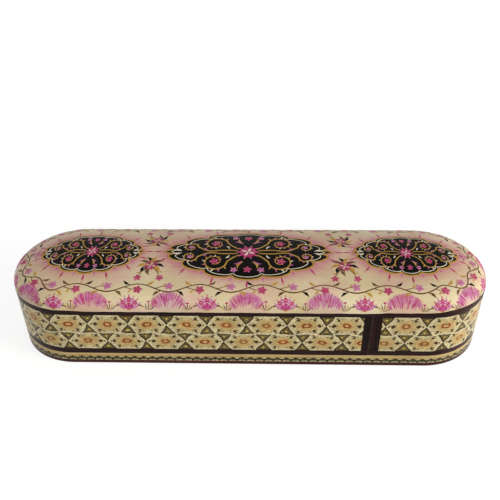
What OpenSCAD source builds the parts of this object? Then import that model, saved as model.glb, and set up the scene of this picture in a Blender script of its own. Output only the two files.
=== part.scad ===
// Pen box with half-round ends: a vaulted case, and a drawer that slides out of its right end.
// The frame has its origin under the middle of the foot, +X towards the drawer's end, -Y to the front.

/* [Case] */
// Length of the box from tip to tip
case_length = 250; // [200:1:320]
// Width of the box, and the diameter of its half-round ends
case_width = 68; // [60:1:84]
// Height of the upright wall, from the table to the spring of the vault
wall_height = 34.8; // [30:0.1:48]
// Thickness of the wooden wall boards under the veneer
wall_board = 3.5; // [2.5:0.1:5]
// Thickness of the inlaid veneer and of the strips round it
veneer = 1.5; // [0.8:0.1:2.5]

/* [Vault] */
// Radius of the round shoulder where the vault leaves the wall
shoulder_radius = 10; // [6:0.5:13]
// Rise of the crown above the top of the shoulder round
crown_rise = 3; // [1.5:0.1:6]
// Thickness of the bone shell
bone_shell = 2; // [1:0.1:3.5]
// Depth of the lip under the vault that drops between the wall boards
lip_depth = 1.5; // [0.8:0.1:3]

/* [Foot bands] */
// Height of the bottom board's bare edge under the edging
foot_reveal = 0.2; // [0.1:0.1:1]
// Height of the red edging
edging_height = 2.1; // [1:0.1:4]
// Height of the zigzag border
zigzag_height = 2.8; // [1.5:0.1:5]
// Height of the gold fillet
fillet_height = 1.8; // [1:0.1:4]

/* [Wall bands] */
// Height of the dark strip at the foot of the wall
lower_strip = 3.4; // [2:0.1:5]
// Height of the dark strip under the vault
upper_strip = 2.2; // [1:0.1:4]
// Width of the dark upright at the mouth of the case
case_jamb = 3.9; // [2:0.1:8]
// Width of the dark upright on the drawer's end
end_jamb = 4.8; // [2:0.1:8]

/* [Drawer] */
// Length of the drawer's round end, from the tip of the box to the seam
end_length = 63; // [50:1:80]
// Width of the open seam between the case and the drawer's end
seam = 0.3; // [0.2:0.05:0.8]
// Running clearance round the drawer
clearance = 0.3; // [0.2:0.05:0.8]
// Thickness of the drawer's sides
drawer_side = 3; // [2.4:0.1:5]
// Thickness of the drawer's floor
floor_board = 2.5; // [1.5:0.1:4]
// Gap between the lip of the vault and the top of the drawer's sides
headroom = 2; // [1:0.1:6]
// Thickness of the velvet on the drawer's floor
lining = 0.6; // [0.4:0.1:1.5]
// Gap between the velvet's edge and the wood beside it
lining_gap = 0.3; // [0.1:0.1:1]

/* [Partition] */
// Length of the inkwell bay, from the partition to the drawer's round end
ink_bay = 56; // [54:1:75]
// Thickness of the partition
partition = 3; // [2:0.1:5]
// Depth of the grooves beside the bays that hold the partition
groove_depth = 1; // [0.5:0.1:1.5]
// Drop from the top of the drawer's sides to the top of the partition
partition_drop = 4; // [1:0.5:8]

/* [Tongues] */
// Length of the tongues that join the straight boards to the round ends
tongue_length = 4; // [2:0.5:6]
// Thickness of those tongues
tongue = 1.2; // [0.8:0.1:1.6]

/* [Hidden] */
$fn = 96;

FRONT = -1;
BACK = 1;

// Places along the box
half_width = case_width / 2;
arc_x = (case_length - case_width) / 2;
mouth_x = case_length / 2 - end_length;
end_x = mouth_x + seam;

// Insets from the outer outline, from the veneer in to the drawer's inside
board_inset = veneer;
cavity_inset = board_inset + wall_board;
tray_inset = cavity_inset + clearance;
bay_inset = tray_inset + drawer_side;

// Heights
edging_top = foot_reveal + edging_height;
zigzag_top = edging_top + zigzag_height;
base_top = zigzag_top + fillet_height;
khatam_bottom = base_top + lower_strip;
khatam_top = wall_height - upper_strip;
end_bottom = base_top + clearance;
end_top = wall_height - clearance;
floor_top = end_bottom + floor_board;
lip_bottom = wall_height - lip_depth;
tray_top = lip_bottom - headroom;
partition_top = tray_top - partition_drop;

// The partition's two faces
partition_right = arc_x + half_width - bay_inset - ink_bay;
partition_left = partition_right - partition;

wood_brown = "#8a5a33";
wood_pale = "#b98d5a";
wood_dark = "#2b1b1f";
wood_red = "#4f1d1a";
inlay_tan = "#b99a62";
inlay_gold = "#c8a25c";
bone_cream = "#e6dbbd";
velvet_red = "#7a1626";

// Outline of the box, drawn in by an inset
module outline(inset) {
    square([2 * arc_x, 2 * (half_width - inset)], center = true);
    for (side = [-1, 1])
        translate([side * arc_x, 0]) circle(half_width - inset);
}

// Band between two outlines
module band(outer_inset, inner_inset) {
    difference() {
        outline(outer_inset);
        outline(inner_inset);
    }
}

// The part of a flat shape between two places along the box
module between(x_low, x_high) {
    intersection() {
        children();
        translate([x_low, -case_width]) square([x_high - x_low, 2 * case_width]);
    }
}

module left_of(x) {
    between(-case_length, x) children();
}

module right_of(x) {
    between(x, case_length) children();
}

// A flat shape raised from one height to another
module rise(z_low, z_high) {
    translate([0, 0, z_low]) linear_extrude(z_high - z_low) children();
}

// Bar that is rooted in the end of a straight board and stands out of it as a tongue
module tongue_bar(side, board_end, outer_inset, inner_inset, z_low, z_high) {
    middle_y = side * (half_width - (outer_inset + inner_inset) / 2);
    translate([board_end - tongue_length, middle_y - tongue / 2, z_low])
        cube([2 * tongue_length, tongue, z_high - z_low]);
}

// Straight board along one side of the box
module straight_board(side, x_low, x_high, outer_inset, inner_inset, z_low, z_high) {
    near_y = half_width - inner_inset;
    thickness = inner_inset - outer_inset;
    translate([x_low, side > 0 ? near_y : -near_y - thickness, z_low])
        cube([x_high - x_low, thickness, z_high - z_low]);
}

// Section of the vault: a shallow crown between two round shoulders, drawn in by an inset
module vault_section(inset) {
    shoulder_y = half_width - shoulder_radius;
    rise_high = shoulder_radius + crown_rise;
    crown_radius = (shoulder_y ^ 2 + rise_high ^ 2 - shoulder_radius ^ 2) / (2 * crown_rise);
    crown_centre = rise_high - crown_radius;
    intersection() {
        union() {
            intersection() {
                translate([0, crown_centre]) circle(crown_radius - inset);
                polygon([
                    [0, crown_centre],
                    [2 * shoulder_y, -crown_centre],
                    [-2 * shoulder_y, -crown_centre]
                ]);
            }
            for (side = [-1, 1])
                translate([side * shoulder_y, 0]) circle(shoulder_radius - inset);
        }
        translate([-half_width, 0]) square([case_width, case_width]);
    }
}

// A vault section carried along the box and round both ends
module along_box() {
    rotate([90, 0, 90]) translate([0, 0, -arc_x]) linear_extrude(2 * arc_x) children();
    for (side = [-1, 1])
        translate([side * arc_x, 0, 0]) rotate([0, 0, -side * 90]) rotate_extrude(angle = 180)
            intersection() {
                children();
                square([case_width, case_width]);
            }
}

// Foot

module base_board() {
    color(wood_brown) rise(0, base_top) outline(board_inset);
}

module base_edging() {
    color(wood_red) rise(foot_reveal, edging_top) band(0, board_inset);
}

module zigzag_border() {
    color(inlay_tan) rise(edging_top, zigzag_top) band(0, board_inset);
}

module gold_fillet() {
    color(inlay_gold) rise(zigzag_top, base_top) band(0, board_inset);
}

// Case walls

module case_wall_tongue(side) {
    tongue_bar(side, -arc_x, board_inset, cavity_inset, base_top, lip_bottom);
}

module case_side_wall(side) {
    straight_board(side, -arc_x, mouth_x, board_inset, cavity_inset, base_top, wall_height);
    case_wall_tongue(side);
}

module case_front_wall() {
    color(wood_brown) case_side_wall(FRONT);
}

module case_back_wall() {
    color(wood_brown) case_side_wall(BACK);
}

module case_end_wall() {
    color(wood_brown) difference() {
        rise(base_top, wall_height) left_of(-arc_x) band(board_inset, cavity_inset);
        for (side = [FRONT, BACK]) case_wall_tongue(side);
    }
}

module case_khatam() {
    color(inlay_tan) rise(khatam_bottom, khatam_top) left_of(mouth_x - case_jamb) band(0, board_inset);
}

module case_lower_strip() {
    color(wood_dark) rise(base_top, khatam_bottom) left_of(mouth_x) band(0, board_inset);
}

module case_upper_strip() {
    color(wood_dark) rise(khatam_top, wall_height) left_of(mouth_x) band(0, board_inset);
}

module case_jambs() {
    color(wood_dark) rise(khatam_bottom, khatam_top)
        between(mouth_x - case_jamb, mouth_x) band(0, board_inset);
}

// Vault

module vault_core() {
    color(wood_brown) {
        translate([0, 0, wall_height]) along_box() vault_section(bone_shell);
        rise(lip_bottom, wall_height + lip_depth) left_of(mouth_x) outline(cavity_inset);
    }
}

module bone_vault() {
    color(bone_cream) translate([0, 0, wall_height]) along_box() difference() {
        vault_section(0);
        vault_section(bone_shell);
    }
}

// Drawer tray

module drawer_floor() {
    color(wood_pale) rise(end_bottom, floor_top) outline(tray_inset);
}

module drawer_side_tongues(side) {
    for (board_end = [-arc_x, end_x])
        tongue_bar(side, board_end, tray_inset, bay_inset, floor_top, partition_top);
}

module drawer_straight_side(side) {
    difference() {
        union() {
            straight_board(side, -arc_x, end_x, tray_inset, bay_inset, floor_top, tray_top);
            drawer_side_tongues(side);
        }
        partition_panel();
    }
}

module drawer_front_side() {
    color(wood_pale) drawer_straight_side(FRONT);
}

module drawer_back_side() {
    color(wood_pale) drawer_straight_side(BACK);
}

module drawer_inner_end() {
    color(wood_pale) difference() {
        rise(floor_top, tray_top) left_of(-arc_x) band(tray_inset, bay_inset);
        for (side = [FRONT, BACK]) drawer_side_tongues(side);
    }
}

// The partition, with its edges in the grooves beside it
module partition_panel() {
    groove_y = half_width - bay_inset + groove_depth;
    translate([partition_left, -groove_y, floor_top])
        cube([partition, 2 * groove_y, partition_top - floor_top]);
}

module ink_partition() {
    color(wood_pale) partition_panel();
}

module pen_bay_lining() {
    color(velvet_red) rise(floor_top, floor_top + lining)
        left_of(partition_left - lining_gap) outline(bay_inset + lining_gap);
}

module ink_bay_lining() {
    color(velvet_red) rise(floor_top, floor_top + lining)
        right_of(partition_right + lining_gap) outline(bay_inset + lining_gap);
}

// Drawer end

module drawer_end_block() {
    color(wood_brown) difference() {
        union() {
            rise(end_bottom, floor_top) right_of(end_x) band(board_inset, tray_inset);
            rise(floor_top, end_top) right_of(end_x) band(board_inset, bay_inset);
        }
        for (side = [FRONT, BACK]) drawer_side_tongues(side);
        partition_panel();
    }
}

module end_khatam() {
    color(inlay_tan) rise(khatam_bottom, khatam_top) right_of(end_x + end_jamb) band(0, board_inset);
}

module end_lower_strip() {
    color(wood_dark) rise(end_bottom, khatam_bottom) right_of(end_x) band(0, board_inset);
}

module end_upper_strip() {
    color(wood_dark) rise(khatam_top, end_top) right_of(end_x) band(0, board_inset);
}

module end_jambs() {
    color(wood_dark) rise(khatam_bottom, khatam_top)
        between(end_x, end_x + end_jamb) band(0, board_inset);
}

base_board();
base_edging();
zigzag_border();
gold_fillet();
case_front_wall();
case_back_wall();
case_end_wall();
case_khatam();
case_lower_strip();
case_upper_strip();
case_jambs();
vault_core();
bone_vault();
drawer_floor();
drawer_front_side();
drawer_back_side();
drawer_inner_end();
ink_partition();
drawer_end_block();
end_khatam();
end_lower_strip();
end_upper_strip();
end_jambs();
pen_bay_lining();
ink_bay_lining();
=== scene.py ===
import random
from math import atan2, ceil, cos, dist, floor, pi, radians, sin, sqrt, tau

import bmesh
import bpy
import numpy as np
from mathutils import Matrix, Vector

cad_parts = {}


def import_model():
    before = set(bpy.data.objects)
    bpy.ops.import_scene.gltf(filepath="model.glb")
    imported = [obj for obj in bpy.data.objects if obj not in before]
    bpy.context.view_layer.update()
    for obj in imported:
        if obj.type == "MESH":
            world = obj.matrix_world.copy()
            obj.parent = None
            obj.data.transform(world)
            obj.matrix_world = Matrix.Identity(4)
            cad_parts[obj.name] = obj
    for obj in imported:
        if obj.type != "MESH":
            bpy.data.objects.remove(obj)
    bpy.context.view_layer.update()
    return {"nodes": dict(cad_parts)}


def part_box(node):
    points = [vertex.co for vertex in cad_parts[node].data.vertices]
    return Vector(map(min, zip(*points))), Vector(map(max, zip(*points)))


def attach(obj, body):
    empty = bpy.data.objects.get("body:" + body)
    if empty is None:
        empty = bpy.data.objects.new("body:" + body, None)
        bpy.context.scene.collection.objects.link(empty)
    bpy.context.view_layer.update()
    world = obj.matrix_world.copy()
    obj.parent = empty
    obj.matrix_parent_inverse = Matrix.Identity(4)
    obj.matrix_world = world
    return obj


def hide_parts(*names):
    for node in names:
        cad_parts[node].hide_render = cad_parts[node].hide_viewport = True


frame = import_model()
scene = bpy.context.scene

# Lengths are in millimetres and become metres where a mesh is made. Colours are written as 0 to 255.
MM = 0.001
X, Y, Z = range(3)
dice = random.Random(7)


def span(node, axis):
    """Lowest and highest place of a CAD node along an axis."""
    low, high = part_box(node)
    return low[axis] / MM, high[axis] / MM


# Sizes read from the frame
HALF_WIDTH = span("base_edging", Y)[1]
ARC_X = span("base_edging", X)[1] - HALF_WIDTH
STRAIGHT = 2 * ARC_X
PERIMETER = 2 * (STRAIGHT + pi * HALF_WIDTH)
VENEER = HALF_WIDTH - span("base_board", Y)[1]
RIM, CROWN_TOP = span("bone_vault", Z)
RISE = CROWN_TOP - RIM
SHELL = HALF_WIDTH - span("vault_core", Y)[1]
# The seam between the case and the drawer
MOUTH_X = span("case_lower_strip", X)[1]
END_X = span("end_lower_strip", X)[0]

# The vault's section, as in the CAD source
SHOULDER = 10.0
SHOULDER_Y = HALF_WIDTH - SHOULDER
CROWN_RADIUS = (SHOULDER_Y**2 + RISE**2 - SHOULDER**2) / (2 * (RISE - SHOULDER))
TURN = atan2(SHOULDER_Y, CROWN_RADIUS - RISE)
CROWN_ARC = CROWN_RADIUS * TURN
HALF_ARC = CROWN_ARC + SHOULDER * (pi / 2 - TURN)
# The rim of the vault laid flat, how far paint keeps from it, and the least length to divide by
RIM_LENGTH = 2 * (STRAIGHT + pi * HALF_ARC)
RIM_MARGIN = 0.15
TINY = 1e-9


def srgb(colour):
    """A colour as Blender's linear colour."""
    shares = [c / 255 for c in colour]
    return tuple(c / 12.92 if c <= 0.04045 else ((c + 0.055) / 1.055) ** 2.4 for c in shares) + (1.0,)


# Places on the wall and on the vault


def back_s(x):
    """Place along the outline of a point at x on the back."""
    return PERIMETER / 2 - x


def along_outline(s, radius, inset=0.0):
    """x, y and inward angle at places along a round-ended outline, from mid-front towards +X."""
    half = STRAIGHT + pi * radius
    s = np.mod(np.asarray(s, float) + ARC_X, 2 * half)
    side = np.where(s < half, 1.0, -1.0)
    s = np.mod(s, half)
    angle = np.clip(s - STRAIGHT, 0, None) / radius
    reach = radius - inset
    x = np.minimum(s, STRAIGHT) - ARC_X + reach * np.sin(angle)
    return side * x, -side * reach * np.cos(angle), angle + side * pi / 2


def on_wall(s, z, inset=0.0):
    """Points on the wall at places along its outline."""
    x, y, _ = along_outline(s, HALF_WIDTH, inset)
    return np.stack([x, y, np.broadcast_to(z, x.shape)], -1)


def vault_section(arc, inset=0.0):
    """Half-breadth, height over the rim and tilt at an arc length from the crown."""
    arc = np.asarray(arc, float)
    crown = arc <= CROWN_ARC
    tilt = np.where(crown, arc / CROWN_RADIUS, TURN + (arc - CROWN_ARC) / SHOULDER)
    radius = np.where(crown, CROWN_RADIUS, SHOULDER) - inset
    breadth = np.where(crown, 0.0, SHOULDER_Y) + radius * np.sin(tilt)
    height = np.where(crown, RISE - CROWN_RADIUS, 0.0) + radius * np.cos(tilt)
    return breadth, height, tilt


def on_vault(x, w, lift=0.0):
    """Points on the vault laid flat: x along the box and w across it, from the crown, front below 0."""
    x, w = np.asarray(x, float), np.asarray(w, float)
    past = np.clip(np.abs(x) - ARC_X, 0, None)
    arc = np.hypot(past, w)
    breadth, height, tilt = vault_section(np.minimum(arc, HALF_ARC - RIM_MARGIN))
    out = (breadth + lift * np.sin(tilt)) / np.maximum(arc, TINY)
    x = np.clip(x, -ARC_X, ARC_X) + np.sign(x) * out * past
    return np.stack([x, out * w, RIM + height + lift * np.cos(tilt)], -1)


# Making pieces

# Degrees over which an edge is sharp, and metres under which points are one
SHARP, VAULT_SHARP = 30, 40
WELD = 1e-7
EVEN = (1, 1, 1)


def added(name, data):
    made = bpy.data.objects.new(name, data)
    scene.collection.objects.link(made)
    return made


def make(name, verts, faces, material, body, slot, replaces=(), sharp=SHARP, weld=False, **layers):
    """A piece from points in millimetres. Its layers go by corner, but wash by point and metal by face."""
    mesh = bpy.data.meshes.new(name)
    mesh.from_pydata((np.asarray(verts) * MM).tolist(), [], faces)
    for layer, values in layers.items():
        values = np.asarray(values, np.float32).ravel()
        if layer in ("OFBake", "path"):
            mesh.uv_layers.new(name=layer, do_init=False).uv.foreach_set("vector", values)
        elif layer == "metal":
            mesh.attributes.new(layer, "FLOAT", "FACE").data.foreach_set("value", values)
        else:
            domain = "CORNER" if layer == "tint" else "POINT"
            mesh.color_attributes.new(layer, "FLOAT_COLOR", domain).data.foreach_set("color", values)
    work = bmesh.new()
    work.from_mesh(mesh)
    if weld:
        bmesh.ops.remove_doubles(work, verts=work.verts[:], dist=WELD)
        bmesh.ops.dissolve_degenerate(work, edges=work.edges[:], dist=WELD)
    bmesh.ops.recalc_face_normals(work, faces=work.faces[:])
    work.to_mesh(mesh)
    work.free()
    mesh.shade_smooth()
    mesh.set_sharp_from_angle(angle=radians(sharp))
    mesh.materials.append(material)
    piece = added(name, mesh)
    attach(piece, body)
    if replaces:
        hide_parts(*replaces)
    return piece


def quads(rows, columns, first=0, closed=False):
    """Faces between rings of points, and from the last ring to the first if closed."""
    return [
        tuple(first + row * columns + column for row, column in ((i, j), (i, k), (m, k), (m, j)))
        for i in range(rows if closed else rows - 1)
        for m in [(i + 1) % rows]
        for j in range(columns)
        for k in [(j + 1) % columns]
    ]


def add_rings(verts, faces, rings, closed=False):
    """Adds a solid of rings of points, which closes on itself or has flat ends."""
    first, (count, n) = len(verts), rings.shape[:2]
    verts.extend(rings.reshape(-1, 3).tolist())
    faces.extend(quads(count, n, first, closed))
    if not closed:
        faces.extend(tuple(range(first + i * n, first + (i + 1) * n)) for i in (0, count - 1))


class Look:
    """A material or a world, with short ways to add nodes and to wire them to its one shader."""

    def __init__(self, name, kind=bpy.data.materials, **sockets):
        self.made = kind.new(name)
        self.made.use_nodes = True
        self.tree = self.made.node_tree
        self.shader = next(node for node in self.tree.nodes if node.outputs)
        self.give(**sockets)

    def give(self, **sockets):
        """Sets or wires the shader's sockets, named with _ for each space."""
        for name, value in sockets.items():
            self.put(self.shader.inputs[name.replace("_", " ")], value)

    def put(self, socket, value):
        if isinstance(value, bpy.types.NodeSocket):
            self.tree.links.new(value, socket)
        else:
            socket.default_value = value

    def node(self, kind, inputs=None, **settings):
        made = self.tree.nodes.new("ShaderNode" + kind)
        for key, value in settings.items():
            setattr(made, key, value)
        for key, value in (inputs or {}).items():
            self.put(made.inputs[key], value)
        return made

    def math(self, operation, *values, **settings):
        return self.node("Math", dict(enumerate(values)), operation=operation, **settings).outputs[0]

    def place(self, stretch=EVEN, path=False):
        """Coordinates in metres, on the object or along the outline of the box."""
        made = self.node("UVMap", uv_map="path") if path else self.node("TexCoord")
        source = made.outputs["UV" if path else "Object"]
        return self.node("Mapping", {"Vector": source, "Scale": stretch}).outputs["Vector"]

    def noise(self, stretch, scale, detail=3.0, rough=0.55, path=False):
        inputs = {"Vector": self.place(stretch, path), "Scale": scale, "Detail": detail, "Roughness": rough}
        return self.node("TexNoise", inputs).outputs["Fac"]

    def ramp(self, fac, *stops):
        """Colours by a value, from stops of a value and a colour."""
        made = self.node("ValToRGB", {"Fac": fac})
        elements = made.color_ramp.elements
        while len(elements) < len(stops):
            elements.new(0.5)
        for element, (at, colour) in zip(elements, stops):
            element.position, element.color = at, srgb(colour)
        return made.outputs["Color"]

    def grey(self, fac, low, high, from_low=0.0, from_high=1.0):
        """low to high, as a value goes from one bound to the other."""
        bounds = {"From Min": from_low, "From Max": from_high, "To Min": low, "To Max": high}
        return self.node("MapRange", {"Value": fac, **bounds}).outputs["Result"]

    def near(self, place, reach):
        """1 at a place along the outline, down to 0 at a reach from it."""
        along = self.node("SeparateXYZ", {0: self.place(path=True)}).outputs["X"]
        off = self.math("ABSOLUTE", self.math("SUBTRACT", along, place * MM))
        return self.grey(off, 1.0, 0.0, 0.0, reach * MM)

    def mix(self, fac, first, second, blend="MIX"):
        first, second = (srgb(c) if isinstance(c, tuple) else c for c in (first, second))
        made = self.node("Mix", {0: fac, 6: first, 7: second}, data_type="RGBA", blend_type=blend)
        return made.outputs[2]

    def seen(self):
        """1 for rays that show the background itself."""
        rays = self.node("LightPath").outputs
        most = self.math("MAXIMUM", rays["Is Camera Ray"], rays["Is Glossy Ray"])
        return self.math("MAXIMUM", most, rays["Is Transmission Ray"])

    def done(self, colour, rough, height, depth, strength=0.5):
        """The material, with its colour, roughness and bump wired."""
        bump = self.node("Bump", {"Height": height, "Distance": depth * MM, "Strength": strength})
        self.give(Base_Color=colour, Roughness=rough, Normal=bump.outputs["Normal"])
        return self.made


# Materials

# Places along the outline
SEAM = [MOUTH_X, END_X, back_s(MOUTH_X), back_s(END_X)]
TIP = PERIMETER / 4
# Rubbed wear at the seams, and painted light round the end's tip: how far each reaches, and its colour
RUBBED_REACH, RUBBED = 0.26, (122, 102, 84)
# Painted light: a lighter, redder patch on the end's dark strips round its tip, where the lamp from the
# right falls strongest
PAINTED_LIGHT_REACH, PAINTED_LIGHT = 46.0, (104, 60, 52)


def wood(name, dark, middle, pale, stretch, rough, path=False, gloss=0.3, depth=0.03, worn=(), painted_light_at=()):
    """Wood with streaks and pores along its grain, rubbed at worn places, and with a patch of painted light,
    lighter and redder, round the places given for it.
    """
    look = Look(name, Specular_IOR_Level=gloss)
    streaks = look.noise(stretch, 1.0, 5.0, 0.6, path)
    pores = look.noise(stretch, 5.0, 2.0, 0.5, path)
    clouds = look.noise(EVEN, 45.0, 2.0, path=path)
    colour = look.ramp(streaks, (0.25, dark), (0.5, middle), (0.78, pale))
    colour = look.mix(look.grey(pores, 0.55, 0.0, 0.3, 0.46), colour, dark)
    colour = look.mix(look.grey(clouds, 0.0, 0.35, 0.4, 0.7), colour, dark)
    # Rubbed wear at the worn places, and painted light round the places given for it
    wear = [(place, RUBBED_REACH, (pores, 0.1, 0.7), RUBBED) for place in worn]
    wear += [(place, PAINTED_LIGHT_REACH, (streaks, 0.55, 1.0), PAINTED_LIGHT) for place in painted_light_at]
    for place, reach, patches, tone in wear:
        share = look.math("MULTIPLY", look.near(place, reach), look.grey(*patches, 0.35, 0.6))
        colour = look.mix(share, colour, tone)
    rough = look.grey(streaks, rough + 0.1, rough - 0.08)
    return look.done(colour, rough, look.mix(0.5, streaks, pores), depth, 0.6)


def inlay(name, rough):
    """Polished inlay, coloured by face, with a fine grain."""
    look = Look(name, Specular_IOR_Level=0.13)
    look.give(Metallic=look.node("Attribute", attribute_name="metal").outputs["Fac"])
    fine = look.noise((900, 900, 2400), 1.0, 2.0)
    wear = look.noise(EVEN, 120.0)
    grain = look.ramp(fine, (0.25, (214, 210, 204)), (0.7, (255, 255, 255)))
    colour = look.mix(1.0, look.node("VertexColor", layer_name="tint").outputs["Color"], grain, "MULTIPLY")
    colour = look.mix(look.grey(wear, 0.0, 0.22, 0.5, 0.8), colour, (120, 98, 62))
    return look.done(colour, look.grey(fine, rough + 0.12, rough - 0.08), look.mix(0.4, fine, wear), 0.02)


def bone():
    """Varnished bone with pores and the pink washes of the painting."""
    look = Look("painted_bone", Specular_IOR_Level=0.12)
    clouds = look.noise((1, 1.6, 1.6), 32.0, 4.0)
    pores = look.noise((110, 1500, 1500), 1.0, 3.0, 0.6)
    flecks = look.noise((300, 2200, 2200), 1.0, 1.0)
    brush = look.noise((160, 420, 420), 1.0, 4.0, 0.65)
    wash = look.node("VertexColor", layer_name="wash").outputs
    colour = look.ramp(clouds, (0.3, (205, 187, 143)), (0.52, (217, 201, 160)), (0.75, (227, 213, 178)))
    colour = look.mix(look.grey(pores, 0.14, 0.0, 0.34, 0.5), colour, (176, 146, 100))
    colour = look.mix(look.grey(flecks, 0.2, 0.0, 0.27, 0.33), colour, (126, 96, 60))
    strength = look.math("MULTIPLY", wash["Alpha"], look.grey(brush, 0.65, 1.2, 0.3, 0.7), use_clamp=True)
    colour = look.mix(strength, colour, wash["Color"])
    return look.done(colour, look.grey(clouds, 0.36, 0.24), look.mix(0.5, pores, clouds), 0.015)


def paint(name, colour, thin, gloss):
    """Brushed pigment, thinner in places."""
    look = Look(name, Specular_IOR_Level=gloss)
    brush = look.noise((260, 700, 700), 1.0, 4.0, 0.6)
    patches = look.noise(EVEN, 210.0, 2.0)
    shade = look.mix(look.grey(brush, 0.0, 0.75, 0.42, 0.72), colour, thin)
    shade = look.mix(look.grey(patches, 0.0, 0.3, 0.5, 0.75), shade, thin)
    return look.done(shade, look.grey(brush, 0.5, 0.3), brush, 0.02)


def velvet():
    look = Look("red_velvet", Sheen_Weight=0.6, Sheen_Roughness=0.35, Sheen_Tint=srgb((214, 96, 110)))
    nap = look.noise(EVEN, 2600.0, 2.0)
    strokes = look.noise((60, 130, 130), 1.0)
    colour = look.ramp(strokes, (0.3, (84, 10, 22)), (0.55, (118, 18, 34)), (0.8, (146, 32, 48)))
    colour = look.mix(look.grey(nap, 0.5, 0.0, 0.3, 0.6), colour, (58, 6, 14))
    return look.done(colour, look.grey(nap, 0.95, 0.8), nap, 0.12, 0.7)


# Colours of the strips, and their grain, which runs up the uprights and along the others
EBONISED = (21, 11, 11), (38, 21, 20), (70, 38, 35), (40, 900, 1)
UPRIGHT = (13, 8, 7), (23, 13, 11), (72, 28, 24), (900, 40, 1)
RED = (44, 19, 15), (68, 34, 28), (95, 53, 43), (45, 1000, 1)
YELLOW = (150, 120, 70), (198, 171, 116), (220, 197, 148), (90, 1300, 1)
STRIP = {"path": True, "depth": 0.015}
DARK_STRIP = {"rough": 0.3, "gloss": 0.07, **STRIP}

CASE_WOOD = wood("walnut", (74, 42, 24), (112, 70, 40), (140, 94, 58), (26, 420, 420), rough=0.45)
TRAY_WOOD = wood("poplar", (150, 108, 66), (182, 140, 92), (203, 166, 118), (22, 380, 380), rough=0.5)
DARK_WOOD = wood("ebonised", *EBONISED, worn=SEAM + [MOUTH_X + PERIMETER], **DARK_STRIP)
JAMB_WOOD = wood("ebonised_upright", *UPRIGHT, worn=SEAM, **DARK_STRIP)
# The end's dark strips carry painted light round the tip
END_WOOD = wood("ebonised_end", *EBONISED, worn=SEAM, painted_light_at=[TIP], **DARK_STRIP)
RED_WOOD = wood("red_stained", *RED, rough=0.34, gloss=0.1, **STRIP)
GOLD_WOOD = wood("yellow_wood", *YELLOW, rough=0.3, gloss=0.2, **STRIP)
INLAY = inlay("khatam", rough=0.3)
ZIGZAG = inlay("zigzag", rough=0.34)
BONE = bone()
VELVET = velvet()


# Strips round the wall

# A step along them, their eased edges, and the edging's reach below its CAD node
STATION = 1.5
BEVEL = 0.12
FOOT_DROP = 0.17
ROUND = [(0.0, PERIMETER)]


def pairs(points):
    """Each point with the next, round a closed shape."""
    return zip(points, points[1:] + points[:1])


def strip(name, node, runs, body, slot, material, closed=False, drop=0.0):
    """Strips of the veneer's thickness with eased edges. Each run is two places along the outline."""
    z_low, z_high = span(node, Z)
    z_low -= drop
    section = [
        (0, z_low + BEVEL), (0, z_high - BEVEL), (BEVEL, z_high),
        (VENEER, z_high), (VENEER, z_low), (BEVEL, z_low),
    ]
    around = np.cumsum([0.0] + [dist(here, there) for here, there in pairs(section)])
    verts, faces, path = [], [], []
    for s_low, s_high in runs:
        steps = ceil((s_high - s_low) / STATION)
        s = np.linspace(s_low, s_high, steps + 1)
        rings = [on_wall(s[:-1] if closed else s, z, inset) for inset, z in section]
        add_rings(verts, faces, np.stack(rings, 1), closed)
        path += [
            (s[i + a] * MM, around[j + b] * MM)
            for i in range(steps)
            for j in range(len(section))
            for a, b in ((0, 0), (0, 1), (1, 1), (1, 0))
        ]
        if not closed:
            path += 2 * [(inset * MM, z * MM) for inset, z in section]
    make(name, verts, faces, material, body, slot, [node], path=path)


def case_run(x):
    """From x on the back, round the left end, to x on the front."""
    return back_s(x), x + PERIMETER


def end_run(x):
    """From x on the front, round the right end, to x on the back."""
    return x, back_s(x)


strip("edging", "base_edging", ROUND, "case", "red_wood", RED_WOOD, closed=True, drop=FOOT_DROP)
strip("fillet", "gold_fillet", ROUND, "case", "gold_wood", GOLD_WOOD, closed=True)
for place in ("lower", "upper"):
    strip(f"case_{place}_line", f"case_{place}_strip", [case_run(MOUTH_X)], "case", "dark_wood", DARK_WOOD)
    strip(f"end_{place}_line", f"end_{place}_strip", [end_run(END_X)], "drawer", "dark_wood", END_WOOD)
for body, name in (("case", "case_jambs"), ("drawer", "end_jambs")):
    low, high = span(name, X)
    runs = [(low, high), (back_s(high), back_s(low))]
    strip(name.replace("jambs", "uprights"), name, runs, body, "dark_wood", JAMB_WOOD)


# Inlaid bands. A band is its lowest and highest s and z.

# Bake map: height of the outside, place and height of the rest, and margins of a run
MAP_OUTSIDE, MAP_REST, MAP_REST_TALL = 0.9, 0.92, 0.06
MARGIN_S, MARGIN_Z = 2.0, 0.75
# Sway of hand work: where it fades out at the ends, and its share across
SWAY_FADE, SWAY_ACROSS = 4.0, 0.9
# Steps to a millimetre that tell corners apart, the least area of a shape, and the colour behind
FINEST, SMALLEST = 1000, 1e-5
CORE = (60, 40, 26)


def varied(colour, spread):
    """A linear colour, lighter or darker by chance."""
    shift = 1 + dice.gauss(0, spread)
    warm = 1 + dice.gauss(0, spread / 3)
    red, green, blue = colour
    return srgb(max(0, min(255, c)) for c in (red * shift * warm, green * shift, blue * shift / warm))


def area(shape):
    return sum(p[0] * q[1] - q[0] * p[1] for p, q in pairs(shape)) / 2


def clipped(shape, s_low, s_high):
    """A convex shape cut off at two places along the wall."""
    for bound, keep in ((s_low, 1), (s_high, -1)):
        held = []
        for p, q in pairs(shape):
            p_in, q_in = keep * (p[0] - bound) >= 0, keep * (q[0] - bound) >= 0
            if p_in:
                held.append(p)
            if p_in != q_in:
                share = (bound - p[0]) / (q[0] - p[0])
                held.append((bound, p[1] + share * (q[1] - p[1])))
        shape = held
    return shape


def cancel(edges, more):
    """Adds directed edges to others, and takes out those that then run both ways."""
    for a, b in more:
        if (b, a) in edges:
            del edges[b, a]
        else:
            edges[a, b] = True


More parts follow.
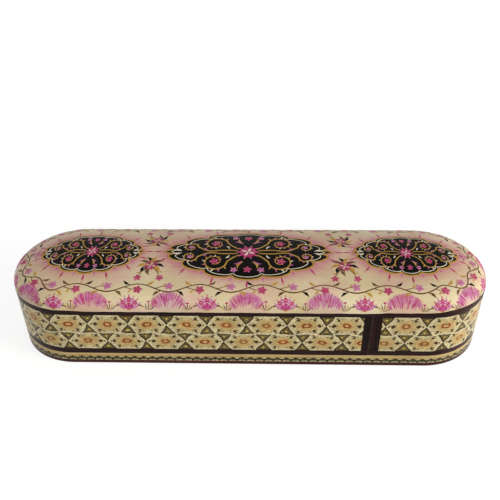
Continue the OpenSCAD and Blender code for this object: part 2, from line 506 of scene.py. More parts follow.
def loops(edges):
    """The closed outlines that directed edges make, parted where one touches itself."""
    following = {}
    for here, there in edges:
        following.setdefault(here, []).append(there)
    found = []
    while following:
        loop = [next(iter(following))]
        while loop:
            here = loop[-1]
            there = following[here].pop()
            if not following[here]:
                del following[here]
            if there not in loop:
                loop.append(there)
                continue
            at = loop.index(there)
            found.append(loop[at:])
            loop = loop[: at + 1] if at else []
    return found


def spread(points, band, runs):
    """Bake map of the outside, in stacked runs, so that each small piece has its own pixels."""
    s_low, s_high, z_low, z_high = band
    run = (s_high - s_low) / runs
    middle = sum(s for s, _ in points) / len(points)
    row = min(runs - 1, int((middle - s_low) / (s_high - s_low) * runs))
    left, low = s_low + row * run - MARGIN_S, z_low - MARGIN_Z
    long, tall = run + 2 * MARGIN_S, z_high - z_low + 2 * MARGIN_Z
    return [((s - left) / long, MAP_OUTSIDE / runs * (row + (z - low) / tall)) for s, z in points]


def parked(points, band):
    """Bake map of the back and edges."""
    s_low, s_high, z_low, z_high = band
    scale = MAP_REST_TALL / (z_high - z_low)
    return [((s - s_low) / (s_high - s_low), MAP_REST + scale * (z - z_low)) for s, z in points]


def swayed(s, z, band, sway):
    """Places moved a little, as in hand work, but not off the band."""
    s_low, s_high, z_low, z_high = band
    ends = np.clip(np.minimum(s - s_low, s_high - s) / SWAY_FADE, 0, 1)
    sides = np.sin(pi * (z - z_low) / (z_high - z_low))
    along = np.sin(0.47 * s + 0.6 * z) + 0.4 * np.sin(1.6 * s - 0.5 * z)
    across = np.sin(0.39 * s + 2.0) + 0.45 * np.sin(1.15 * s + 0.35 * z)
    return s + sway * ends * along, z + SWAY_ACROSS * sway * sides * across


def numbered(shape, band, known):
    """Numbers of a shape's corners, counter-clockwise, or none if too little of it is on the band."""
    shape = clipped(list(shape), *band[:2])
    if len(shape) < 3 or abs(area(shape)) < SMALLEST:
        return []
    ids = []
    for place in shape if area(shape) > 0 else shape[::-1]:
        key = tuple(round(c * FINEST) for c in place)
        number, _ = known.setdefault(key, (len(known), place))
        if number not in ids[-1:]:
            ids.append(number)
    ids = ids[:-1] if ids[0] == ids[-1] else ids
    return ids if len(ids) > 2 else []


def veneer(name, node, body, slot, material, band, runs, sway, groups):
    """A veneer of small flat pieces, closed by a plain back and edges.

    A group is cells that lie side by side with shared corners. A cell is a list of (corners, colour, metal).
    """
    verts, faces, tint, metals, uv = [], [], [], [], []
    for cells in groups:
        known, edges, outer, backs = {}, {}, [], []
        for cell in cells:
            rim = {}
            for shape, colour, metal in cell:
                ids = numbered(shape, band, known)
                if ids:
                    outer.append((ids, colour))
                    metals.append(metal)
                    cancel(rim, pairs(ids))
            backs += loops(rim)
            cancel(edges, rim)
        places = [place for _, place in known.values()]
        first, count = len(verts), len(places)
        s, z = swayed(*np.array(places).T, band, sway)
        verts += on_wall(s, z).tolist() + on_wall(s, z, VENEER).tolist()
        for ids, colour in outer:
            faces.append([first + i for i in ids])
            tint += [colour] * len(ids)
            uv += spread([places[i] for i in ids], band, runs)
        hidden = [[(i, count) for i in loop[::-1]] for loop in backs]
        hidden += [[(b, 0), (a, 0), (a, count), (b, count)] for a, b in edges]
        for corners in hidden:
            faces.append([first + i + under for i, under in corners])
            tint += [srgb(CORE)] * len(corners)
            uv += parked([places[i] for i, _ in corners], band)
        metals += [0.0] * len(hidden)
    make(name, verts, faces, material, body, slot, [node], OFBake=uv, tint=tint, metal=metals)


# Hexagons: pitch, share of it in the flat sides, share of the lower row, and rows of small triangles
PITCH = 19.93
FLAT_SHARE = 0.6
ROW_SPLIT = 0.476
GRAINS = 8
KHATAM_RUNS, KHATAM_SWAY = 4, 0.3
STAR_SPREAD, WEDGE_SPREAD = 0.05, 0.09
BRASS_METAL = 0.6
# The centre of a hexagon in the lower and in the upper row
CASE_ROWS = PERIMETER - 21.5, PERIMETER - 10.0
END_ROWS = 89.5, 79.0
PEACH, AMBER, RUST = (210, 170, 108), (196, 155, 96), (142, 72, 32)
HALO, FIELD, OLIVE = (204, 175, 117), (201, 178, 122), (106, 92, 54)
CREAM, IVORY, BRASS = (209, 192, 143), (220, 206, 162), (206, 180, 92)
EBONY, UMBER, KHAKI, MOSS = (33, 25, 11), (57, 41, 18), (144, 126, 76), (98, 83, 42)
RINGS_OF_STAR = [RUST, RUST, (160, 84, 40), (150, 104, 56)]


def star_colour(row, up, index, last, ring, wide):
    """Colour of a small triangle of a hexagon, by its row from the centre."""
    edge = index in (0, last)
    beside = OLIVE if up and index in (1, last - 1) else CREAM
    return {
        1: PEACH,
        2: ring,
        3: HALO if up else AMBER,
        4: HALO,
        5: UMBER if edge and up and not wide else FIELD,
        6: UMBER if edge and (up or not wide) else beside,
        7: (UMBER if wide else OLIVE) if edge and up else IVORY if up else CREAM,
        8: IVORY,
    }[row]


def wedge_colour(row, up, index, last):
    """Colour of a small triangle between the hexagons, by its depth from their edges."""
    depth = min(index, last - index, GRAINS - row)
    if depth == 0:
        return EBONY if up else MOSS if index % 2 else UMBER
    if depth == 1:
        return KHAKI if up else EBONY
    return BRASS


def grains(apex, left, right):
    """Small triangles of a big one from its apex: corners, row, points to the apex, index, last index."""
    apex, left, right = (np.array(p, float) for p in (apex, left, right))

    def at(row, place):
        return tuple(apex + (left - apex) * row / GRAINS + (right - left) * place / GRAINS)

    for row in range(1, GRAINS + 1):
        for i in range(row):
            yield (at(row - 1, i), at(row, i), at(row, i + 1)), row, True, i, row - 1
        for i in range(row - 1):
            yield (at(row - 1, i), at(row, i + 1), at(row - 1, i + 1)), row, False, i, row - 2


def hexagons(s_low, s_high, low, high, phase):
    """Cells of a row of hexagons with stars, one of them at phase, and of the wedges between."""
    half, flat = PITCH / 2, FLAT_SHARE * PITCH / 2
    middle, rise = (low + high) / 2, (high - low) / 2
    for k in range(floor((s_low - phase) / PITCH) - 1, ceil((s_high - phase) / PITCH) + 2):
        centre = phase + k * PITCH
        rim = [(half, 0), (flat, rise), (-flat, rise), (-half, 0), (-flat, -rise), (flat, -rise)]
        rim = [(centre + x, middle + z) for x, z in rim]
        ring = dice.choice(RINGS_OF_STAR)
        yield [
            (shape, varied(star_colour(*place, ring, a[1] == b[1]), STAR_SPREAD), 0.0)
            for a, b in pairs(rim)
            for shape, *place in grains((centre, middle), a, b)
        ]
        for edge in (high, low):
            wedge = (centre + half, middle), (centre + flat, edge), (centre + PITCH - flat, edge)
            yield [
                (shape, varied(colour, WEDGE_SPREAD), BRASS_METAL if colour is BRASS else 0.0)
                for shape, *place in grains(*wedge)
                for colour in [wedge_colour(*place)]
            ]


def khatam(name, node, body, s_low, s_high, phases):
    """A band of two rows of hexagons."""
    z_low, z_high = span(node, Z)
    split = z_low + ROW_SPLIT * (z_high - z_low)
    rows = zip((z_low, split), (split, z_high), phases)
    groups = [list(hexagons(s_low, s_high, *row)) for row in rows]
    band = s_low, s_high, z_low, z_high
    veneer(name, node, body, "khatam_inlay", INLAY, band, KHATAM_RUNS, KHATAM_SWAY, groups)


khatam("case_inlay", "case_khatam", "case", *case_run(span("case_khatam", X)[1]), CASE_ROWS)
khatam("end_inlay", "end_khatam", "drawer", *end_run(span("end_khatam", X)[0]), END_ROWS)

# Zigzag: how many peaks, the place of one, and the height of its dark arms
ZIGZAGS = 124
ZIGZAG_START = 6.5
ZIGZAG_BAND = 1.65
ZIGZAG_RUNS, ZIGZAG_SWAY = 13, 0.1
BAR_SPREAD, TRIANGLE_SPREAD = 0.1, 0.07
INK, SAGE = (26, 16, 4), (142, 134, 90)
GOLD, STRAW, LIME = (196, 164, 104), (214, 202, 156), (180, 166, 96)
# Bars of an arm of the zigzag: start, end and colour
BARS = [(0, 0.28, INK), (0.28, 0.36, SAGE), (0.36, 0.64, INK), (0.64, 0.72, SAGE), (0.72, 1, INK)]
# Small triangles over and under it: two at the base, one at the tip, one in the middle
UPPER_SHADES, LOWER_SHADES = (GOLD, GOLD, STRAW, LIME), (STRAW, STRAW, SAGE, SAGE)


def quartered(a, b, c):
    """A triangle as four small ones, the middle one last."""
    ab, bc, ca = (tuple((np.array(p) + np.array(q)) / 2) for p, q in ((a, b), (b, c), (c, a)))
    return [(a, ab, ca), (ab, b, bc), (ca, bc, c), (ab, bc, ca)]


def zigzag(name, node):
    """A dark zigzag of short bars between pale triangles, round the foot."""
    z_low, z_high = span(node, Z)
    period = PERIMETER / ZIGZAGS
    arm_top, arm_low = z_low + ZIGZAG_BAND, z_high - ZIGZAG_BAND
    drop = z_high - arm_top
    cells = []
    for k in range(-2, ZIGZAGS + 2):
        peak = ZIGZAG_START % period + k * period
        left, right = peak - period / 2, peak + period / 2
        for dip in (left, right):
            for start, end, colour in BARS:
                ends = (z_high, start), (z_high, end), (arm_low, end), (arm_low, start)
                corners = [(peak + (dip - peak) * share, z - drop * share) for z, share in ends]
                cells.append([(corners, varied(colour, BAR_SPREAD), 0.0)])
        upper = (peak, z_high), (peak + period, z_high), (right, arm_top)
        lower = (left, z_low), (right, z_low), (peak, arm_low)
        for corners, shades in ((upper, UPPER_SHADES), (lower, LOWER_SHADES)):
            for small, colour in zip(quartered(*corners), shades):
                cells.append([(small, varied(colour, TRIANGLE_SPREAD), 0.0)])
    band = 0.0, PERIMETER, z_low, z_high
    veneer(name, node, "case", "zigzag_inlay", ZIGZAG, band, ZIGZAG_RUNS, ZIGZAG_SWAY, [cells])


zigzag("zigzag_inlay", "zigzag_border")


# Vault

COLUMNS = 580
RINGS = 44
INNER_RINGS = 8
# Places round the rim, the crown line beside them, and rays from it to them
RIM_S = np.linspace(0, PERIMETER, COLUMNS, endpoint=False)
RIM_X, RIM_Y, _ = on_wall(RIM_S, 0.0).T
SPINE = np.clip(RIM_X, -ARC_X, ARC_X)
RAY_X, RAY_Y = (RIM_X - SPINE) / HALF_WIDTH, RIM_Y / HALF_WIDTH
# Medallions along the crown: place, half-length, half-breadth
MEDALLIONS = [(0.0, 43.0, 21.0), (-82.5, 27.0, 17.5), (82.5, 27.0, 17.5)]
# Hills and flower fans stand by turns round the rim
ROW = 32
ROW_INSET = 1.5
HILL_HALF, HILL_TALL, HILL_BLADES = 10.5, 9.2, 64
FAN_SIZE = 8.2
# Colours, strengths and fading lengths of the washes
PINK, LILAC, ROSY = (202, 104, 148), (176, 102, 154), (190, 68, 122)
CLOUD_WASH, GLOW_WASH, HILL_WASH = 0.3, 0.65, 0.85
GLOW_FADE, CREST_FADE, HILL_FADE = 3.6, 0.8, 0.85 * HILL_TALL


def rim_place(s, inset):
    """A place on the flat vault beside its rim, and the direction from it to the crown."""
    return tuple(map(float, along_outline(s, HALF_ARC, inset)))


def rim_row(first, step):
    """Places of a row of motifs beside the rim."""
    return [rim_place(k * RIM_LENGTH / ROW, ROW_INSET) for k in np.arange(first, ROW, step)]


HILLS, FANS, TUFTS = rim_row(0, 2), rim_row(1, 2), rim_row(0.5, 1)


def washes(x, w):
    """Colour and strength of the pink washes at places on the vault."""
    colour, strength = np.ones((len(x), 3)), np.zeros(len(x))

    def wash(pigment, share):
        take = share > strength
        colour[take], strength[take] = srgb(pigment)[:3], share[take]

    clouds = np.sin(0.11 * x + 1.3 * np.sin(0.13 * w)) * np.sin(0.19 * w + 0.07 * x + 0.6)
    wash(PINK, CLOUD_WASH * np.clip(clouds, 0, None))
    for middle, half, high in MEDALLIONS:
        away = (np.hypot((x - middle) / half, w / high) - 1) * high
        wash(ROSY, GLOW_WASH * np.exp(-np.clip(away, 0, None) / GLOW_FADE))
    for number, (place_x, place_w, up) in enumerate(HILLS):
        right, ahead = x - place_x, w - place_w
        height = right * cos(up) + ahead * sin(up)
        along = (right * sin(up) - ahead * cos(up)) / HILL_HALF
        ends = np.sqrt(np.clip(1 - along**2, 0, None))
        below = HILL_TALL * ends - height
        share = HILL_WASH * ends * np.minimum(1, below / CREST_FADE) * np.exp(-below / HILL_FADE)
        wash(LILAC if number % 2 else PINK, np.where((np.abs(along) < 1) & (below > 0), share, 0))
    return np.column_stack([colour, strength])


def vault_ring(breadth, height):
    """Points round the vault at a half-breadth and a height over the rim."""
    level = np.broadcast_to(RIM + height, COLUMNS)
    return np.column_stack([SPINE + RAY_X * breadth, RAY_Y * breadth, level])


def vault():
    """The bone shell: rings from the crown line to the rim, then back along its inside."""
    levels = [(arc, 0.0) for arc in np.linspace(0, HALF_ARC, RINGS + 1)]
    levels += [(arc, SHELL) for arc in np.linspace(HALF_ARC, 0, INNER_RINGS + 1)]
    verts = np.vstack([vault_ring(*vault_section(arc, inset)[:2]) for arc, inset in levels])
    flat_x, flat_w = np.hstack([(SPINE + RAY_X * arc, RAY_Y * arc) for arc, _ in levels])
    make(
        "vault", verts, quads(len(levels), COLUMNS), BONE, "case", "bone", ["bone_vault"],
        sharp=VAULT_SHARP, weld=True, wash=washes(flat_x, flat_w),
    )


vault()


# Painting on the vault: dark medallions with gold scrolls among pink flowers

# Lift of the paint, its spread by chance, and how deep its edges and its underside lie
LIFT, UNEVEN = 0.05, 0.004
SINK = 0.015
UNDER = 3 * SINK
# A stroke's step, the width over which its ends are round, their angles, and a cell across
STEP = 1.1
ROUND_FROM, CAP = 0.7, np.radians([25, 50, 75])
CELL = 2.2
FILL_RINGS = 18
# Pigments: colour, colour where thin, and height over the lowest layer
PIGMENTS = {
    "black": ((9, 8, 7), (26, 23, 20), 0.0),
    "magenta": ((168, 34, 90), (198, 82, 130), 0.035),
    "pink": ((180, 88, 142), (206, 134, 174), 0.02),
    "white": ((228, 219, 196), (214, 201, 168), 0.05),
    "ochre": ((176, 130, 48), (200, 160, 82), 0.03),
    "brown": ((92, 58, 30), (126, 86, 48), 0.012),
}
BLACK_GLOSS, GLOSS, RIM_GLOSS = 0.03, 0.15, 0.07
LEAVES = "brown", "ochre", "black"
picture = []
drawn = {pigment: ([], []) for pigment in PIGMENTS}


def stroke(pigment, points, widths, ground=0.0):
    """A brush stroke to be laid: places on the vault, widths, and what it lies on."""
    picture.append((pigment, points, widths, ground))


def smooth_line(points, widths):
    """A curve through points, with its width, in short steps."""
    points, widths = np.asarray(points, float), np.asarray(widths, float)
    held = np.vstack([2 * points[0] - points[1], points, 2 * points[-1] - points[-2]])
    line, width = [], []
    for i in range(len(points) - 1):
        a, b, c, d = held[i : i + 4]
        n = max(2, ceil(np.linalg.norm(c - b) / STEP))
        t = np.linspace(0, 1, n, endpoint=False)[:, None]
        bend = (2 * a - 5 * b + 4 * c - d) * t**2 + (3 * b - a - 3 * c + d) * t**3
        line.append(b + (c - a) * t / 2 + bend / 2)
        width.append(widths[i] + (widths[i + 1] - widths[i]) * (3 * t**2 - 2 * t**3)[:, 0])
    return np.vstack(line + [points[-1:]]), np.concatenate(width + [widths[-1:]])


def lay(pigment, points, widths, ground):
    """Makes a stroke: a closed, crowned ribbon on the vault."""
    line, width = smooth_line(points, widths)
    along = np.gradient(line, axis=0)
    along /= np.maximum(np.linalg.norm(along, axis=1), TINY)[:, None]
    for end, way in ((0, -1), (-1, 1)):
        if width[end] > ROUND_FROM:
            cap = CAP if end else CAP[::-1]
            more = line[end] + way * along[end] * width[end] / 2 * np.sin(cap)[:, None]
            turn = np.repeat(along[end][None], len(cap), 0)
            parts = [(line, more), (width, width[end] * np.cos(cap)), (along, turn)]
            line, width, along = (np.concatenate(p if end else p[::-1]) for p in parts)
    side = np.stack([-along[:, 1], along[:, 0]], 1)
    cells = max(2, 2 * ceil(width.max() / CELL))
    q = np.linspace(-1, 1, cells + 1)
    lift = LIFT + PIGMENTS[pigment][2] + dice.uniform(-UNEVEN, UNEVEN)
    places = line[:, None] + side[:, None] * (width[:, None] / 2 * q)[..., None]
    top = on_vault(places[..., 0], places[..., 1], ground + lift * (1 - q**4) - SINK * q**4)
    under = on_vault(line[:, 0], line[:, 1], ground - UNDER)[:, None]
    add_rings(*drawn[pigment], np.concatenate([top, under], 1))


def fill(pigment, middle, edge):
    """Makes a filled shape: a thin closed cushion on the vault."""
    shares = np.linspace(1 / FILL_RINGS, 1, FILL_RINGS)
    levels = [(share, LIFT) for share in shares] + [(1.0, 0.0)]
    levels += [(share, -UNDER) for share in shares[::-1]]
    rings = [on_vault(*(middle + share * (edge - middle)).T, lift) for share, lift in levels]
    add_rings(*drawn[pigment], np.stack(rings))


def turned(x, w, angle, *points):
    """Points given along and across a direction, from a place on the vault."""
    c, s = cos(angle), sin(angle)
    return [(x + c * a - s * b, w + s * a + c * b) for a, b in points]


def leaf(pigment, x, w, angle, length, width, curl=0.15):
    """A leaf or petal. Its curl is a share of its length."""
    places = turned(x, w, angle, (0, 0), (length * 0.55, curl * length), (length, 0))
    stroke(pigment, places, [0.25, width, 0.15])


def dot(pigment, x, w, size):
    stroke(pigment, [(x - 0.3 * size, w), (x, w), (x + 0.3 * size, w)], [0.75 * size, size, 0.75 * size])


def blossom(x, w, size, petals="magenta"):
    """A five-petalled flower with a yellow heart."""
    start = dice.uniform(0, tau)
    for k in range(5):
        angle = start + k * tau / 5
        leaf(petals, x, w, angle, size, size * 0.8, 0.02)
        stroke("white", turned(x, w, angle, (size * 0.45, 0), (size * 0.88, 0)), [0.15, size * 0.16])
    dot("ochre", x, w, 0.42 * size)


def rosette(x, w, size):
    """A full flower with three rows of petals."""
    for k in range(10):
        angle = k * tau / 10
        leaf("magenta", x, w, angle, size, size * 0.42, 0.0)
        stroke("white", turned(x, w, angle, (size * 0.72, 0), (size * 0.95, 0)), [0.2, size * 0.11])
    for k in range(8):
        leaf("white" if k % 2 else "pink", x, w, (k + 0.5) * tau / 8, size * 0.62, size * 0.36, 0.0)
    for k in range(6):
        leaf("magenta", x, w, k * tau / 6, size * 0.34, size * 0.2, 0.0)
    dot("ochre", x, w, 0.26 * size)


def fan(x, w, up, size):
    """A fan of striped petals over two curled leaves."""
    for side in (-1, 1):
        leaf("brown", x, w, up - side * 1.38, size * 0.95, size * 0.2, side * 0.25)
        leaf("black", x, w, up - side * 1.15, size * 0.72, size * 0.1, side * 0.2)
    for k in (-3, 3, -2, 2, -1, 1, 0):
        way, length = up - k * 0.33, size * (1 - 0.05 * abs(k))
        leaf("pink" if k % 2 else "magenta", x, w, way, length, size * 0.32, 0.0)
        for share in (0.45, 0.62, 0.79):
            across = size * 0.13 * (1.25 - share)
            stripe = (length * share, -across), (length * (share + 0.05), 0), (length * share, across)
            stroke("white", turned(x, w, way, *stripe), [0.2, size * 0.12, 0.2])
    dot("ochre", *turned(x, w, up, (size * 0.06, 0))[0], 0.26 * size)


def hill(x, w, up):
    """A hill crest of fine fanned blades over its wash."""
    for k in range(HILL_BLADES):
        share = (k + 0.5) / HILL_BLADES * 2 - 1
        crest = HILL_TALL * sqrt(1 - 0.88 * share**2)
        start = dice.uniform(0.12, 0.62)
        root = turned(x, w, up, (crest * start, -share * HILL_HALF * (0.52 + 0.4 * start)))[0]
        way = up - share * 0.75 + dice.gauss(0, 0.05)
        pigment = "magenta" if dice.random() < 0.35 else "pink"
        length = crest * (1 - start) * dice.uniform(0.85, 1.1)
        leaf(pigment, *root, way, length, dice.uniform(0.3, 0.6), 0.06 * share)


def tuft(x, w, up, tall):
    """A tuft of brown grass with a bud."""
    for k in range(-2, 3):
        root = turned(x, w, up, (0, -0.3 * k))[0]
        leaf(LEAVES[k % 3], *root, up - k * 0.36, tall * (1 - 0.12 * abs(k)), 0.6, -0.06 * k)
    dot("magenta", *turned(x, w, up, (tall, 0))[0], 1.1)


def spiral(x, w, radius, start, way):
    """A gold stem that winds inwards to a flower, with leaves outside it."""
    share = np.linspace(0, 1, 17)
    angle = start + way * 1.3 * tau * share
    reach = radius * (1 - 0.72 * share)
    stem = np.column_stack([x + reach * np.cos(angle), w + reach * np.sin(angle)])
    stroke("ochre", stem.tolist(), np.linspace(0.95, 0.45, len(share)).tolist())
    for i in range(1, 12):
        size = radius * (0.42 - 0.02 * i)
        pigment = ("white", "ochre", "pink")[i % 3]
        leaf(pigment, *stem[i], angle[i] + way * 0.75, size, size * 0.42, way * 0.15)
    blossom(x, w, 0.4 * radius, "pink" if radius < 5 else "magenta")


def scrollwork():
    """A quarter of a medallion's filling, as for the large one."""
    stroke("ochre", [(4.6, 2.6), (7.2, 4.6), (9.8, 7.4)], [0.8, 0.9, 0.95])
    spiral(16, 7.4, 6.2, pi, -1)
    stroke("ochre", [(5.5, 1.2), (12, 1.5), (19, 0.8), (24.4, 3.9)], [0.8, 0.9, 0.9, 0.95])
    spiral(28.2, 3.9, 3.8, pi, -1)
    leaf("white", 9, 2.6, 0.9, 3, 1.2)
    leaf("pink", 20, 1.4, 0.7, 2.8, 1.1)
    leaf("white", 32.3, 0.8, 0.16, 4.4, 1.4, 0.05)
    leaf("ochre", 2.2, 7.6, 1.1, 5.4, 1.5, -0.2)
    leaf("pink", 2.8, 7, 0.5, 4.4, 1.4, 0.2)
    blossom(6.4, 13.2, 1.9, "pink")


def taken(draw, *given):
    """The strokes that a drawing makes, taken out of the picture."""
    draw(*given)
    strokes = picture[:]
    picture.clear()
    return strokes


# A medallion's filling: the half-length and half-breadth it is drawn for, and its parts
FILLING = 40.0, 19.0
QUARTER = taken(scrollwork)
HEART = taken(rosette, 0, 0, 5.8)
AXIS = taken(blossom, 0, 13.0, 2.2)
WAYS = [(1, 1), (-1, 1), (1, -1), (-1, -1)]
# Its edge: scallops, points of each, and lines of a pigment, a width and a scale
LOBES, LOBE_POINTS = 16, 10
EDGE_LINES = ("ochre", 1.1, 0.985), ("white", 0.5, 0.9)
# Its rays: pigment, length and width, and the beads off the long ones
LONG_RAY, SHORT_RAY = ("magenta", 5.2, 1.3), ("pink", 3.6, 1.0)
BEAD_OFF, BEAD = 5.6, 0.9


def repeat(strokes, x, scales, ways):
    """Draws strokes again on a medallion at x, scaled along and across and mirrored."""
    along, across = scales
    for right, up in ways:
        for pigment, points, widths, _ in strokes:
            places = [(x + right * along * px, up * across * pw) for px, pw in points]
            stroke(pigment, places, [sqrt(along * across) * v for v in widths], LIFT)


def scalloped(x, half, high, scale=1.0):
    """A pointed oval with scalloped edges, as points on the flat vault."""
    turn = np.linspace(0, tau, LOBES * LOBE_POINTS, endpoint=False)
    breadth = np.sin(turn) * np.abs(np.sin(turn)) ** 0.45
    scallop = scale * (1 + 0.1 * (np.abs(np.cos(LOBES * turn / 2)) ** 0.6 - 0.6))
    return np.column_stack([x + half * np.cos(turn) * scallop, high * breadth * scallop])


def medallion(x, half, high):
    """A dark scalloped field with gold edges, scrolls inside it and rays round it."""
    edge = scalloped(x, half, high)
    fill("black", np.array([x, 0.0]), edge)
    for pigment, width, scale in EDGE_LINES:
        line = scalloped(x, half, high, scale)
        stroke(pigment, np.vstack([line, line[:1]]), [width] * (len(line) + 1), LIFT)
    for k in range(0, len(edge), LOBE_POINTS // 2):
        px, pw = edge[k]
        way = atan2(pw / high**2, (px - x) / half**2)
        long = k % LOBE_POINTS == 0
        pigment, length, width = LONG_RAY if long else SHORT_RAY
        leaf(pigment, px, pw, way, length, width, 0.0)
        if long:
            dot("ochre", *turned(px, pw, way, (BEAD_OFF, 0))[0], BEAD)
    scales = half / FILLING[0], high / FILLING[1]
    repeat(QUARTER, x, scales, WAYS)
    repeat(AXIS, x, scales, WAYS[::2])
    repeat(HEART, x, scales, WAYS[:1])


def posy(x, w, up):
    """A rosette with leaves and two flowering twigs."""
    for k in range(-4, 5):
        leaf(LEAVES[k % 3], x, w, up + k * 0.68, 7.4, 2.5, 0.18 if k > 0 else -0.18)
    for side in (-1, 1):
        places = turned(x, w, up, (0, 0), (5, side * 4), (9, side * 5.6))
        stroke("brown", places, [0.8, 0.6, 0.4])
        blossom(*places[-1], 2.3)
        leaf("ochre", *places[1], up + side * 1.4, 2.8, 1.1)
    rosette(x, w, 4.4)


VINE_WAVES, WAVE_STEPS = 20, 8
VINE_INSET, VINE_SWING = 13.0, 2.3


def vine():
    """A running stem round the vault, with a flower in each bend."""
    steps = WAVE_STEPS * VINE_WAVES
    bend = 1 / (2 * VINE_WAVES)

    def at(share, swing):
        return rim_place(share * RIM_LENGTH, VINE_INSET + swing)

    line = [at(k / steps, VINE_SWING * sin(tau * k / WAVE_STEPS))[:2] for k in range(steps + 1)]
    stroke("brown", line, [0.85] * len(line))
    for k in range(2 * VINE_WAVES):
        share, side = (k + 0.5) * bend, -1 if k % 2 else 1
        twig = [at(share - 0.42 * bend, 0.3 * side), at(share - 0.2 * bend, -0.9 * side), at(share, -side)]
        stroke("brown", [place[:2] for place in twig], [0.6, 0.5, 0.4])
        leaf("ochre", *twig[1][:2], twig[1][2] + (2.3 if side > 0 else -0.8), 2.6, 1.2)
        for lean in (-1, 1):
            x, w, up = at(share + 0.26 * lean * bend, side * VINE_SWING * 0.85)
            way = up - lean * 0.95 if side > 0 else up + pi + lean * 0.95
            leaf(LEAVES[(k + lean) % 3], x, w, way, 4.4, 1.9, -0.15 * lean * side)
        blossom(*twig[2][:2], 2.6, "pink" if k % 2 else "magenta")


POSY_X, POSY_W = 49.5, 11.5
END_FAN_X, END_FAN_SIZE = 110.5, 5.0
TUFT_TALL = 3.4, 4.6

for place in MEDALLIONS:
    medallion(*place)
for right, up in WAYS:
    posy(right * POSY_X, up * POSY_W, up * pi / 2)
for x, way in ((END_FAN_X, 0.0), (-END_FAN_X, pi)):
    fan(x, 0.0, way, END_FAN_SIZE)
vine()
for place in HILLS:
    hill(*place)
for place in FANS:
    fan(*place, FAN_SIZE)
for place in TUFTS:
    tuft(*place, dice.uniform(*TUFT_TALL))
for each in picture:
    lay(*each)
for pigment, (verts, faces) in drawn.items():
    look = paint(f"paint_{pigment}", *PIGMENTS[pigment][:2], BLACK_GLOSS if pigment == "black" else GLOSS)
    make(f"painting_{pigment}", verts, faces, look, "case", "bone")


# Dark line painted along the rim of the bone, broad at the ends

# Its least width, and what it gains: how much, towards which end, and from where to where
LINE_THIN = 0.1
GAINS = (0.65, -1, 78, 94), (0.5, 1, MOUTH_X, MOUTH_X + 8), (1.0, 1, 86, 103)
# Its section: share of the width from the rim, and lift
LINE_SECTION = (0, LIFT), (0.5, LIFT), (0.9, 0.7 * LIFT), (1, -SINK), (0.5, -UNDER), (0, -UNDER)


def eased(x, start, end):
    """0 before a place, 1 after another, and a soft step between them."""
    share = np.clip((x - start) / (end - start), 0, 1)
    return share**2 * (3 - 2 * share)


def rim_line():
    width = LINE_THIN + sum(gain * eased(way * RIM_X, *places) for gain, way, *places in GAINS)
    width += 0.06 * np.sin(0.31 * RIM_S) + 0.04 * np.sin(0.83 * RIM_S + 1)
    rings = []
    for share, lift in LINE_SECTION:
        breadth, height, tilt = vault_section(HALF_ARC - share * width)
        rings.append(vault_ring(breadth + lift * np.sin(tilt), height + lift * np.cos(tilt)))
    look = paint("paint_rim", (40, 22, 20), (78, 45, 39), RIM_GLOSS)
    make("rim_line", np.vstack(rings), quads(len(rings), COLUMNS, closed=True), look, "case", "bone")


rim_line()


# Velvet on the drawer's floor

NAP_STEPS, TURN_STEPS, NAP_GRID = 20, 24, 2.0
# Its gaps to the CAD lining at the top and below, its waves, and its soft edge
NAP_SINK, NAP_GAP, NAP_WAVE = 0.12, 0.01, 0.05
SOFT_EDGE, SOFT_DROP = 1.0, 0.16


def lining(name, node, round_side):
    """A cut of velvet laid in a bay, with soft edges and a slightly uneven top."""
    (x_low, x_high), half = span(node, X), span(node, Y)[1]
    z_low, z_high = span(node, Z)
    square_x, tip_x = (x_low, x_high) if round_side > 0 else (x_high, x_low)
    centre = tip_x - round_side * half
    straight = np.arange(min(square_x, centre), max(square_x, centre), NAP_GRID)[::round_side]
    clear = np.minimum(np.abs(straight - square_x), np.abs(straight - centre)) > NAP_GRID / 2
    straight = np.concatenate([[square_x], straight[clear]])
    turn = np.linspace(0, pi / 2, TURN_STEPS)[:-1]
    x = np.concatenate([straight, centre + round_side * half * np.sin(turn)])[:, None]
    breadth = np.concatenate([np.full(len(straight), half), half * np.cos(turn)])[:, None]
    share = np.linspace(-1, 1, NAP_STEPS + 1)
    edge = np.minimum(half - np.abs(share) * half, np.abs(x - square_x)) / SOFT_EDGE
    wave = NAP_WAVE * np.sin(x * 0.31 + share * 4) * np.sin(share * 7 + x * 0.17)
    level = z_high - NAP_SINK + wave - SOFT_DROP * (1 - np.minimum(1, edge))
    top = np.stack(np.broadcast_arrays(x, share * breadth, level), -1)
    under = top[:, ::-1] * (1, 1, 0) + (0, 0, z_low + NAP_GAP)
    verts, faces = [], []
    add_rings(verts, faces, np.concatenate([top, under], 1))
    piece = make(name, verts, faces, VELVET, "drawer", "velvet", [node])


lining("pen_bay_velvet", "pen_bay_lining", -1)
lining("ink_bay_velvet", "ink_bay_lining", 1)


# Boards that keep their CAD shape

for material, nodes in (
    (CASE_WOOD, "base_board case_front_wall case_back_wall case_end_wall vault_core drawer_end_block"),
    (TRAY_WOOD, "drawer_floor drawer_front_side drawer_back_side drawer_inner_end ink_partition"),
):
    for node in nodes.split():
        mesh = frame["nodes"][node].data
        mesh.materials.clear()
        mesh.materials.append(material)


# Floor, light and camera, in metres and watts

FLOOR_HALF = 3.0
WHITE, FLOOR_GREY = (1, 1, 1, 1), (0.42, 0.42, 0.42, 1)
# How white the floor looks near the box and far off, and from where to where that changes
FLOOR_NEAR, FLOOR_FAR = 0.74, 0.9
FLOOR_FROM, FLOOR_TO = 0.3, 1.6
WORLD_LIGHT = 0.36
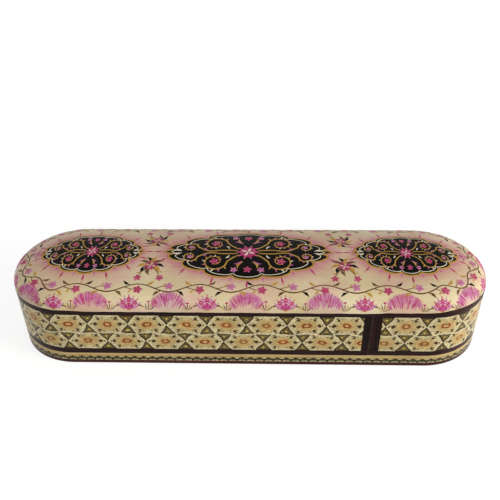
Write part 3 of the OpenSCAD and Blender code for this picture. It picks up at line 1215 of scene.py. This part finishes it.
# Lamps: place, size, power and colour
LAMPS = {
    "key": ((1.2, -0.39, 0.35), 0.5, 14.5, (1.0, 0.97, 0.92)),
    "fill": ((-0.2, -1.0, 0.45), 0.9, 4.4, (1, 1, 1)),
    "top": ((0.0, 0.25, 1.1), 0.9, 0.8, (1, 1, 1)),
}
LAMP_TARGET = Vector((0, 0, 0.03))
# The photograph's view, in millimetres and degrees
VIEW_TARGET, VIEW_DISTANCE = Vector((1.1, 0, 49.12)), 309.5
ELEVATION, AZIMUTH, ROLL = 34.16, 1.79, -0.695
LENS, SENSOR = 42.48, 36.0
CLIP_START, CLIP_END = 0.01, 20.0


def white_floor():
    """A white floor that keeps a soft shadow."""
    mesh = bpy.data.meshes.new("floor")
    corners = [(-1, -1), (1, -1), (1, 1), (-1, 1)]
    mesh.from_pydata([(x * FLOOR_HALF, y * FLOOR_HALF, 0) for x, y in corners], [], [(0, 1, 2, 3)])
    look = Look("floor", Base_Color=FLOOR_GREY, Roughness=1.0, Specular_IOR_Level=0.0, Emission_Color=WHITE)
    away = look.node("VectorMath", {0: look.place()}, operation="LENGTH").outputs["Value"]
    level = look.grey(away, FLOOR_NEAR, FLOOR_FAR, FLOOR_FROM, FLOOR_TO)
    look.give(Emission_Strength=look.math("MULTIPLY", look.seen(), level))
    mesh.materials.append(look.made)
    added("floor", mesh)


def world():
    """A white background that lights the box less than it shows."""
    look = Look("studio", bpy.data.worlds, Color=WHITE)
    look.give(Strength=look.grey(look.seen(), WORLD_LIGHT, 1.0))
    scene.world = look.made


def lamp(name, place, size, watts, colour):
    light = bpy.data.lights.new(name, "AREA")
    light.energy, light.size, light.color = watts, size, colour
    made = added(name, light)
    made.location = place
    made.rotation_euler = (LAMP_TARGET - Vector(place)).to_track_quat("-Z", "Y").to_euler()


def camera():
    data = bpy.data.cameras.new("camera")
    data.lens, data.sensor_width = LENS, SENSOR
    data.clip_start, data.clip_end = CLIP_START, CLIP_END
    made = added("camera", data)
    turns = ((AZIMUTH, "Z"), (90 - ELEVATION, "X"), (ROLL, "Z"))
    around, down, roll = (Matrix.Rotation(radians(angle), 4, axis) for angle, axis in turns)
    back = Matrix.Translation((0, 0, VIEW_DISTANCE * MM))
    made.matrix_world = Matrix.Translation(VIEW_TARGET * MM) @ around @ down @ roll @ back
    scene.camera = made


white_floor()
world()
for name, values in LAMPS.items():
    lamp(name, *values)
camera()
scene.view_settings.view_transform = "Standard"
